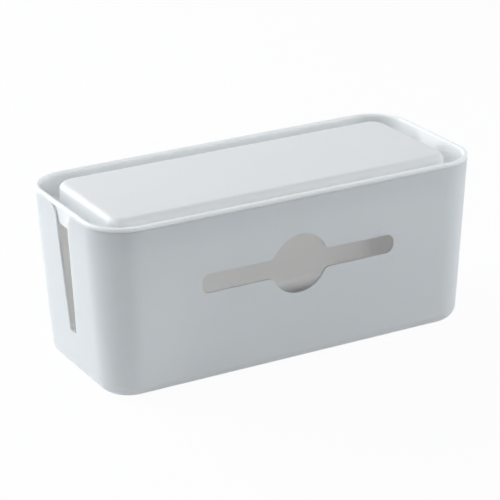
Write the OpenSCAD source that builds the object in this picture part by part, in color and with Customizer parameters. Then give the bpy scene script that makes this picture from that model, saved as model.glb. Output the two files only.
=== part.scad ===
// Cable management box: a moulded tub that holds a power strip, and a lift-off
// lid whose raised middle sits flush with the rim inside a deep channel.
// Frame: +X along the length, +Y to the back, +Z up. The origin is on the
// surface that the box stands on, under the middle of the box. Millimetres.

/* [Box] */
// Length over the rim
box_length = 400; // [320:5:460]
// Depth over the rim, front to back
box_depth = 177; // [150:1:220]
// Height from the surface it stands on to the rim
box_height = 170; // [150:1:200]
// Corner radius at the rim
corner_r = 40; // [36:1:48]
// How far each side leans in between the rim and the base
lean = 10; // [4:0.5:12]
// Thickness of the tub's walls and floor
wall = 2.4; // [2:0.1:3]
// Radius of the rounded edge round the base
base_r = 14; // [8:1:16]

/* [Lid] */
// Height of the lip that sits on top of the tub's wall
lip_height = 4; // [2.5:0.5:8]
// Depth of the channel round the raised middle
channel_depth = 22.6; // [14:0.2:30]
// From the outside of the rim to the edge of the raised middle
panel_inset = 23.4; // [18:0.2:27]
// Radius of the raised middle's top edge
panel_edge_r = 6.5; // [3:0.5:8]
// How far the raised middle widens towards the floor of the channel
panel_flare = 1.4; // [0.5:0.1:2]
// Thickness of the lid
lid_wall = 1.8; // [1.6:0.1:2.6]
// Gap all round between the lid and the inside of the tub
fit_gap = 0.3; // [0.2:0.1:0.6]

/* [Cable slots] */
// Width of each slot at its foot
slot_foot_width = 14.2; // [10:0.2:18]
// Width of each slot where its sides would meet the top of the wall
slot_top_width = 27.4; // [20:0.2:34]
// Height of the slot's foot above the surface
slot_foot_height = 43.5; // [30:0.5:60]
// Radius at the corners of the slot's foot
slot_foot_r = 3; // [1:0.5:4]
// Radius of the shoulders that lead a cable in from the top
slot_shoulder_r = 13; // [8:1:16]

/* [Front opening] */
// Diameter of the round hole in the middle
hole_d = 59; // [40:1:70]
// Length of the slot that crosses the hole
arm_length = 203; // [140:1:220]
// Height of that slot
arm_height = 19; // [12:1:24]
// Corner radius at the slot's ends
arm_end_r = 8; // [4:1:9]
// Radius of the blend between slot and hole
blend_r = 8; // [4:1:12]
// Height of the opening's middle above the surface
opening_height = 101; // [90:1:110]

/* [Feet] */
// Diameter of each anti-slip foot
foot_d = 16; // [10:1:20]
// How far the feet stand out below the tub
foot_standout = 1; // [0.8:0.1:2]
// Depth of the recess that each foot is stuck into
foot_seat_depth = 0.8; // [0.4:0.1:1.2]
// Distance from the middle of the box to a foot, along the length
foot_x = 152; // [100:1:160]
// Distance from the middle of the box to a foot, front to back
foot_y = 46; // [30:1:50]

/* [Hidden] */
$fn = 96;

PLASTIC = [0.86, 0.89, 0.90];
RUBBER = [0.45, 0.46, 0.47];

lip_edge_r = 1.8;       // rounded top edges of the lid's lip
lip_foot_r = 0.3;       // the lip's lower edge, at the seam between lid and tub
wall_top_r = 0.9;       // rounded top edges of the tub's wall, which lead the lid in
channel_floor_r = 3;    // inner corners along the floor of the lid's channel
foot_edge_r = 0.6;      // rounded lower edge of a foot
foot_play = 0.2;        // room round a foot in its recess
gate_d = 7;             // shallow dimple round the injection point
gate_depth = 0.5;
gate_nub_d = 1.8;       // end of what is left of the sprue in the dimple
gate_nub_root_d = 2.8;  // and its root
reach = 20;             // how far a cutter runs past the wall that it cuts

base_z = foot_standout;
floor_z = base_z + wall;
seam_z = box_height - lip_height;
channel_z = box_height - channel_depth;
lid_under_z = channel_z - lid_wall;

// The corners turn about four upright lines, shared by tub and lid.
turn_x = box_length / 2 - corner_r;
turn_y = box_depth / 2 - corner_r;

// Distance from such a line to the outer and inner faces, at height z.
function outer_r(z) = corner_r - lean * (box_height - z) / (box_height - base_z);
function inner_r(z) = outer_r(z) - wall;
function lid_outer_r(z) = inner_r(z) - fit_gap;
function lid_inner_r(z) = lid_outer_r(z) - lid_wall;

// ---- outlines with rounded corners: each corner is [x, y, radius] ----

function unit(v) = v / norm(v);
function flat_xy(p) = [p[0], p[1]];
function arc_steps(r) = max(3, round(3 * sqrt(r)));

// The arc that replaces corner b, on the way from a to c.
function corner_arc(a, b, c, r) =
  let (
    to_a = unit(a - b),
    to_c = unit(c - b),
    half = acos(to_a * to_c) / 2,
    middle = b + unit(to_a + to_c) * r / sin(half),
    first = b + to_a * r / tan(half) - middle,
    start = atan2(first[1], first[0]),
    turn = (180 - 2 * half) * sign(cross(b - a, c - b)),
    steps = arc_steps(r)
  )
  [for (k = [0 : steps]) middle + r * [cos(start + turn * k / steps), sin(start + turn * k / steps)]];

function rounded(corners) =
  let (n = len(corners))
  [for (k = [0 : n - 1])
    let (
      before = flat_xy(corners[(k + n - 1) % n]),
      here = flat_xy(corners[k]),
      after = flat_xy(corners[(k + 1) % n]),
      r = corners[k][2]
    )
    each (r == 0 ? [here] : corner_arc(before, here, after, r))
  ];

// ---- wall sections, as [distance from the turning line, height, radius] ----

tub_section = rounded([
  [0, base_z, 0],
  [outer_r(base_z), base_z, base_r],
  [outer_r(seam_z), seam_z, wall_top_r],
  [inner_r(seam_z), seam_z, wall_top_r],
  [inner_r(floor_z), floor_z, base_r - wall],
  [0, floor_z, 0],
]);

panel_r = corner_r - panel_inset;
panel_foot_r = panel_r + panel_flare;

lid_section = rounded([
  [0, box_height, 0],
  [0, box_height - lid_wall, 0],
  [panel_r - lid_wall, box_height - lid_wall, panel_edge_r - lid_wall],
  [panel_foot_r - lid_wall, lid_under_z, channel_floor_r + lid_wall],
  [lid_outer_r(lid_under_z), lid_under_z, channel_floor_r + lid_wall],
  [lid_outer_r(seam_z), seam_z, 0],
  [outer_r(seam_z), seam_z, lip_foot_r],
  [outer_r(box_height), box_height, lip_edge_r],
  [lid_inner_r(box_height), box_height, lip_edge_r],
  [lid_inner_r(channel_z), channel_z, channel_floor_r],
  [panel_foot_r, channel_z, channel_floor_r],
  [panel_r, box_height, panel_edge_r],
]);

// Takes a section round the rectangle between the four turning lines, and
// closes the middle with a plate of the section's thickness at the centre.
module swept(section, plate_z) {
  for (x = [0, 1], y = [0, 1])
    mirror([x, 0, 0]) mirror([0, y, 0]) translate([turn_x, turn_y, 0])
      rotate_extrude(angle = 90) polygon(section);
  for (y = [0, 1])
    mirror([0, y, 0]) translate([-turn_x, turn_y, 0])
      rotate([90, 0, 90]) linear_extrude(2 * turn_x) polygon(section);
  for (x = [0, 1])
    mirror([x, 0, 0]) translate([turn_x, turn_y, 0])
      rotate([90, 0, 0]) linear_extrude(2 * turn_y) polygon(section);
  translate([-turn_x, -turn_y, plate_z[0]]) cube([2 * turn_x, 2 * turn_y, plate_z[1] - plate_z[0]]);
}

// ---- cut-outs in the tub ----

// A tapered slot, open at the top of the wall between two rounded shoulders.
module cable_slot() {
  foot = slot_foot_width / 2;
  top = slot_top_width / 2;
  edge = top + 2 * slot_shoulder_r;
  outline = rounded([
    [-foot, slot_foot_height, slot_foot_r],
    [foot, slot_foot_height, slot_foot_r],
    [top, seam_z, slot_shoulder_r],
    [edge, seam_z, 0],
    [edge, seam_z + reach, 0],
    [-edge, seam_z + reach, 0],
    [-edge, seam_z, 0],
    [-top, seam_z, slot_shoulder_r],
  ]);
  translate([box_length / 2 - lean - reach, 0, 0])
    rotate([90, 0, 90]) linear_extrude(lean + 2 * reach) polygon(outline);
}

// The corner between the round hole and one arm, filled out to a blend.
module opening_blend() {
  hole_r = hole_d / 2;
  blend_y = arm_height / 2 + blend_r;
  blend_x = sqrt(pow(hole_r + blend_r, 2) - pow(blend_y, 2));
  touch = [blend_x, blend_y] * hole_r / (hole_r + blend_r);
  difference() {
    polygon([[0, 0], [blend_x, 0], [blend_x, arm_height / 2], touch]);
    translate([blend_x, blend_y]) circle(r = blend_r);
  }
}

module opening_outline() {
  x = arm_length / 2;
  y = arm_height / 2;
  circle(d = hole_d);
  polygon(rounded([[-x, -y, arm_end_r], [x, -y, arm_end_r], [x, y, arm_end_r], [-x, y, arm_end_r]]));
  for (mx = [0, 1], my = [0, 1])
    mirror([mx, 0]) mirror([0, my]) opening_blend();
}

module front_opening() {
  translate([0, reach - box_depth / 2 + lean, opening_height])
    rotate([90, 0, 0]) linear_extrude(lean + 2 * reach) opening_outline();
}

// The mark that the injection point leaves on a face that is out of sight.
module gate_mark(z) {
  translate([0, 0, z]) difference() {
    translate([0, 0, -reach]) cylinder(d = gate_d, h = reach + gate_depth);
    cylinder(d1 = gate_nub_d, d2 = gate_nub_root_d, h = gate_depth);
  }
}

module at_foot(side, end) {
  translate([side * foot_x, end * foot_y, 0]) children();
}

// ---- the pieces ----

module tub() {
  color(PLASTIC) difference() {
    swept(tub_section, [base_z, floor_z]);
    for (x = [0, 1]) mirror([x, 0, 0]) cable_slot();
    front_opening();
    gate_mark(base_z);
    for (side = [-1, 1], end = [-1, 1])
      at_foot(side, end) cylinder(d = foot_d + 2 * foot_play, h = base_z + foot_seat_depth);
  }
}

module lid() {
  color(PLASTIC) swept(lid_section, [box_height - lid_wall, box_height]);
}

module foot() {
  r = foot_d / 2;
  color(RUBBER) rotate_extrude() polygon(rounded([
    [0, 0, 0],
    [r, 0, foot_edge_r],
    [r, base_z + foot_seat_depth, 0],
    [0, base_z + foot_seat_depth, 0],
  ]));
}

module foot_front_left() at_foot(-1, -1) foot();
module foot_front_right() at_foot(1, -1) foot();
module foot_back_left() at_foot(-1, 1) foot();
module foot_back_right() at_foot(1, 1) foot();

tub();
lid();
foot_front_left();
foot_front_right();
foot_back_left();
foot_back_right();
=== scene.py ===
"""Looks of the cable management box: cool white moulded plastic on a plain pale studio floor."""

import math

import bpy
from mathutils import Matrix, Vector


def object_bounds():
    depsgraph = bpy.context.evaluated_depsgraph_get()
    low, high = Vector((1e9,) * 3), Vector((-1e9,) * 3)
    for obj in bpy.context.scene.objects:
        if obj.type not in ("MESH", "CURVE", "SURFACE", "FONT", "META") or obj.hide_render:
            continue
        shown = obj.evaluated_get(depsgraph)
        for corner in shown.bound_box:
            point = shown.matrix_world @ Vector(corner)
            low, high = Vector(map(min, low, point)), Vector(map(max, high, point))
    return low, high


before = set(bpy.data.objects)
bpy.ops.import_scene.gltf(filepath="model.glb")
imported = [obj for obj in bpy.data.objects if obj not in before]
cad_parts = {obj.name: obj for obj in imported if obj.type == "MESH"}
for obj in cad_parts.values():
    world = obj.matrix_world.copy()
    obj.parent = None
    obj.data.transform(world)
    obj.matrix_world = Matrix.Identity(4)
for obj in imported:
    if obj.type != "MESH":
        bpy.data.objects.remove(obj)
cad_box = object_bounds()

MM = 0.001

# ---- camera: where it stands, its yaw to the right of +Y, its pitch downwards and its roll ----

CAMERA_PLACE = Vector((-0.91008, -1.66803, 0.82896))
CAMERA_YAW = math.radians(28.452)
CAMERA_PITCH = math.radians(21.352)
CAMERA_ROLL = math.radians(-1.052)
CAMERA_LENS = 154.07
SENSOR_WIDTH = 36.0
CAMERA_NEAR = 0.05
CAMERA_FAR = 60.0

# ---- finishes: the tone and the skin of each, by the names of the groups' inputs ----

PLASTIC_TONE = {
    "Colour": (0.975, 0.985, 0.988, 1.0),
    "Shade": 0.02,
    "Roughness": 0.46,
    "Roughness Spread": 0.06,
}
PLASTIC_SKIN = {"Grain Size": 0.45 * MM, "Height": 0.01 * MM, "Strength": 0.3}
TUB_PATCH_SIZE = 70 * MM
LID_PATCH_SIZE = 55 * MM

# How far red, green and blue light travel inside the plastic, in millimetres.
TUB_LIGHT_DEPTH_MM = (8.0, 7.4, 6.9)
LID_LIGHT_DEPTH_MM = (4.1, 4.0, 3.9)

RUBBER_TONE = {
    "Colour": (0.17, 0.175, 0.18, 1.0),
    "Shade": 0.12,
    "Roughness": 0.75,
    "Roughness Spread": 0.06,
    "Patch Size": 6 * MM,
}
RUBBER_SKIN = {"Grain Size": 0.8 * MM, "Height": 0.05 * MM, "Strength": 0.5}

# How the noises behind them look.
PEBBLE_SMOOTHNESS = 0.6
CLOUD_DETAIL = 3.0
CLOUD_ROUGHNESS = 0.6
PATCH_DETAIL = 2.0
PATCH_MIDDLE = 0.5

# ---- stage ----

FLOOR_SIZE = 14.0
FLOOR_COLOUR = (0.82, 0.82, 0.82, 1.0)
FLOOR_GLOW_SHARE = 0.95
WHITE = (1.0, 1.0, 1.0, 1.0)

# ---- light ----

DAYLIGHT = (0.933, 0.972, 1.0)
WORLD_LIGHT = 0.44
LAMP_DISTANCE = 2.0
# Each lamp's name, azimuth (0 is the front, 90 the right), elevation, size and power.
LAMPS = [
    ("back_left", -150, 24, 1.2, 22.5),
    ("low_left", -120, 14, 1.2, 8.0),
    ("high_left", -120, 44, 1.4, 7.5),
    ("low_right", 60, 17, 1.2, 14.0),
]


def add_camera():
    """Puts the camera at its place, turned by yaw, then pitch, then roll."""
    data = bpy.data.cameras.new("camera")
    data.sensor_width = SENSOR_WIDTH
    data.lens = CAMERA_LENS
    data.clip_start = CAMERA_NEAR
    data.clip_end = CAMERA_FAR
    camera = bpy.data.objects.new("camera", data)
    bpy.context.scene.collection.objects.link(camera)
    turn = (
        Matrix.Rotation(-CAMERA_YAW, 4, "Z")
        @ Matrix.Rotation(math.pi / 2 - CAMERA_PITCH, 4, "X")
        @ Matrix.Rotation(CAMERA_ROLL, 4, "Z")
    )
    camera.matrix_world = Matrix.Translation(CAMERA_PLACE) @ turn
    bpy.context.scene.camera = camera


def add_lamp(name, azimuth, elevation, size, power):
    """A square softbox that faces the middle of the box from azimuth and elevation, in degrees."""
    data = bpy.data.lights.new(name, "AREA")
    data.shape = "SQUARE"
    data.size = size
    data.energy = power
    data.color = DAYLIGHT
    lamp = bpy.data.objects.new(name, data)
    bpy.context.scene.collection.objects.link(lamp)
    a = math.radians(azimuth)
    e = math.radians(elevation)
    outwards = Vector((math.sin(a) * math.cos(e), -math.cos(a) * math.cos(e), math.sin(e)))
    middle = Vector((0.0, 0.0, (cad_box[0].z + cad_box[1].z) / 2))
    lamp.location = middle + outwards * LAMP_DISTANCE
    lamp.rotation_mode = "QUATERNION"
    lamp.rotation_quaternion = outwards.to_track_quat("Z", "Y")


# ---- node helpers ----


def new_group(name, inputs, outputs):
    """An empty node group; inputs and outputs are lists of (name, socket type)."""
    group = bpy.data.node_groups.new(name, "ShaderNodeTree")
    for words, kind in inputs:
        group.interface.new_socket(words, in_out="INPUT", socket_type=kind)
    for words, kind in outputs:
        group.interface.new_socket(words, in_out="OUTPUT", socket_type=kind)
    return group, group.nodes.new("NodeGroupInput"), group.nodes.new("NodeGroupOutput")


def math_node(tree, operation, first, second):
    """The result of a Math node whose inputs are numbers or sockets."""
    node = tree.nodes.new("ShaderNodeMath")
    node.operation = operation
    for socket, value in zip(node.inputs, (first, second)):
        if isinstance(value, (int, float)):
            socket.default_value = value
        else:
            tree.links.new(value, socket)
    return node.outputs[0]


def moulded_grain_group():
    """The pebbled skin that a spark-eroded mould leaves: bumps of the given size and height, as a normal."""
    group, given, made = new_group(
        "moulded_grain",
        [
            ("Grain Size", "NodeSocketFloat"),
            ("Height", "NodeSocketFloat"),
            ("Strength", "NodeSocketFloat"),
        ],
        [("Normal", "NodeSocketVector")],
    )
    links = group.links
    place = group.nodes.new("ShaderNodeTexCoord").outputs["Object"]
    scale = math_node(group, "DIVIDE", 1.0, given.outputs["Grain Size"])

    pebbles = group.nodes.new("ShaderNodeTexVoronoi")
    pebbles.feature = "SMOOTH_F1"
    pebbles.inputs["Smoothness"].default_value = PEBBLE_SMOOTHNESS
    links.new(place, pebbles.inputs["Vector"])
    links.new(scale, pebbles.inputs["Scale"])

    cloud = group.nodes.new("ShaderNodeTexNoise")
    cloud.inputs["Detail"].default_value = CLOUD_DETAIL
    cloud.inputs["Roughness"].default_value = CLOUD_ROUGHNESS
    links.new(place, cloud.inputs["Vector"])
    links.new(scale, cloud.inputs["Scale"])

    bump = group.nodes.new("ShaderNodeBump")
    links.new(given.outputs["Strength"], bump.inputs["Strength"])
    links.new(given.outputs["Height"], bump.inputs["Distance"])
    relief = math_node(group, "ADD", pebbles.outputs["Distance"], cloud.outputs["Fac"])
    links.new(relief, bump.inputs["Height"])
    links.new(bump.outputs["Normal"], made.inputs["Normal"])
    return group


def flow_shade_group():
    """Slow, faint changes of tone and gloss, as plastic has where it cooled unevenly in the mould."""
    group, given, made = new_group(
        "flow_shade",
        [
            ("Colour", "NodeSocketColor"),
            ("Shade", "NodeSocketFloat"),
            ("Roughness", "NodeSocketFloat"),
            ("Roughness Spread", "NodeSocketFloat"),
            ("Patch Size", "NodeSocketFloat"),
        ],
        [("Colour", "NodeSocketColor"), ("Roughness", "NodeSocketFloat")],
    )
    links = group.links
    patches = group.nodes.new("ShaderNodeTexNoise")
    patches.inputs["Detail"].default_value = PATCH_DETAIL
    links.new(group.nodes.new("ShaderNodeTexCoord").outputs["Object"], patches.inputs["Vector"])
    links.new(math_node(group, "DIVIDE", 1.0, given.outputs["Patch Size"]), patches.inputs["Scale"])
    swing = math_node(group, "SUBTRACT", patches.outputs["Fac"], PATCH_MIDDLE)

    tone = math_node(group, "ADD", 1.0, math_node(group, "MULTIPLY", swing, given.outputs["Shade"]))
    tint = group.nodes.new("ShaderNodeVectorMath")
    tint.operation = "SCALE"
    links.new(given.outputs["Colour"], tint.inputs[0])
    links.new(tone, tint.inputs["Scale"])
    links.new(tint.outputs[0], made.inputs["Colour"])

    change = math_node(group, "MULTIPLY", swing, given.outputs["Roughness Spread"])
    links.new(math_node(group, "ADD", given.outputs["Roughness"], change), made.inputs["Roughness"])
    return group


GRAIN = moulded_grain_group()
FLOW = flow_shade_group()


# ---- materials of the box ----


def place_group(tree, group, values):
    """Places a node group in a material with its own values."""
    node = tree.nodes.new("ShaderNodeGroup")
    node.node_tree = group
    for words, value in values.items():
        node.inputs[words].default_value = value
    return node


def moulded_material(name, tone, skin):
    """A material with the given tone and skin."""
    material = bpy.data.materials.new(name)
    material.use_nodes = True
    tree = material.node_tree
    shader = tree.nodes["Principled BSDF"]
    flow = place_group(tree, FLOW, tone)
    grain = place_group(tree, GRAIN, skin)
    tree.links.new(flow.outputs["Colour"], shader.inputs["Base Color"])
    tree.links.new(flow.outputs["Roughness"], shader.inputs["Roughness"])
    tree.links.new(grain.outputs["Normal"], shader.inputs["Normal"])
    return material


def translucent_plastic(name, patch_size, light_depth_mm):
    """Cool white plastic with a fine matte skin, thin enough to let some light through."""
    material = moulded_material(name, {**PLASTIC_TONE, "Patch Size": patch_size}, PLASTIC_SKIN)
    shader = material.node_tree.nodes["Principled BSDF"]
    shader.inputs["Subsurface Weight"].default_value = 1.0
    shader.inputs["Subsurface Radius"].default_value = light_depth_mm
    shader.inputs["Subsurface Scale"].default_value = MM
    return material


def foot_rubber(name):
    """Soft grey rubber, duller and coarser than the plastic."""
    return moulded_material(name, RUBBER_TONE, RUBBER_SKIN)


# ---- stage ----


def seen_directly(tree):
    """1 where the camera, a gloss or a clear material looks straight at a surface, else 0."""
    path = tree.nodes.new("ShaderNodeLightPath")
    seen = math_node(tree, "MAXIMUM", path.outputs["Is Camera Ray"], path.outputs["Is Glossy Ray"])
    return math_node(tree, "MAXIMUM", seen, path.outputs["Is Transmission Ray"])


def floor_material():
    """A pale floor that looks white and still takes a faint shadow."""
    material = bpy.data.materials.new("floor")
    material.use_nodes = True
    tree = material.node_tree
    tree.nodes.clear()
    paint = tree.nodes.new("ShaderNodeBsdfDiffuse")
    paint.inputs["Color"].default_value = FLOOR_COLOUR
    glow = tree.nodes.new("ShaderNodeEmission")
    glow.inputs["Color"].default_value = WHITE
    mix = tree.nodes.new("ShaderNodeMixShader")
    out = tree.nodes.new("ShaderNodeOutputMaterial")
    tree.links.new(math_node(tree, "MULTIPLY", seen_directly(tree), FLOOR_GLOW_SHARE), mix.inputs["Fac"])
    tree.links.new(paint.outputs[0], mix.inputs[1])
    tree.links.new(glow.outputs[0], mix.inputs[2])
    tree.links.new(mix.outputs[0], out.inputs["Surface"])
    return material


def add_floor():
    """A plain level sheet under the box's feet."""
    half = FLOOR_SIZE / 2
    mesh = bpy.data.meshes.new("floor")
    corners = [(-half, -half, 0), (half, -half, 0), (half, half, 0), (-half, half, 0)]
    mesh.from_pydata(corners, [], [(0, 1, 2, 3)])
    floor = bpy.data.objects.new("floor", mesh)
    floor.location.z = cad_box[0].z
    mesh.materials.append(floor_material())
    bpy.context.scene.collection.objects.link(floor)


def set_world():
    """Even, dim light from all round, which the camera sees as white."""
    world = bpy.data.worlds.new("studio")
    bpy.context.scene.world = world
    world.use_nodes = True
    tree = world.node_tree
    tree.nodes.clear()
    light = tree.nodes.new("ShaderNodeBackground")
    light.inputs["Strength"].default_value = WORLD_LIGHT
    light.inputs["Color"].default_value = (*DAYLIGHT, 1.0)
    backdrop = tree.nodes.new("ShaderNodeBackground")
    backdrop.inputs["Color"].default_value = WHITE
    mix = tree.nodes.new("ShaderNodeMixShader")
    out = tree.nodes.new("ShaderNodeOutputWorld")
    tree.links.new(seen_directly(tree), mix.inputs["Fac"])
    tree.links.new(light.outputs[0], mix.inputs[1])
    tree.links.new(backdrop.outputs[0], mix.inputs[2])
    tree.links.new(mix.outputs[0], out.inputs["Surface"])


# ---- the box ----


def finish_node(node, material):
    """Gives a CAD node its finish in place of the plain one that it comes with."""
    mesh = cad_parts[node].data
    mesh.materials.clear()
    mesh.materials.append(material)


def finish_box():
    """The tub and the lid are the same plastic, and all feet are the same rubber."""
    finish_node("tub", translucent_plastic("tub_plastic_matte", TUB_PATCH_SIZE, TUB_LIGHT_DEPTH_MM))
    finish_node("lid", translucent_plastic("lid_plastic_matte", LID_PATCH_SIZE, LID_LIGHT_DEPTH_MM))
    rubber = foot_rubber("foot_rubber_grey")
    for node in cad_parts:
        if node.startswith("foot_"):
            finish_node(node, rubber)


add_camera()
set_world()
add_floor()
for lamp in LAMPS:
    add_lamp(*lamp)
finish_box()
bpy.context.scene.view_settings.view_transform = "Standard"
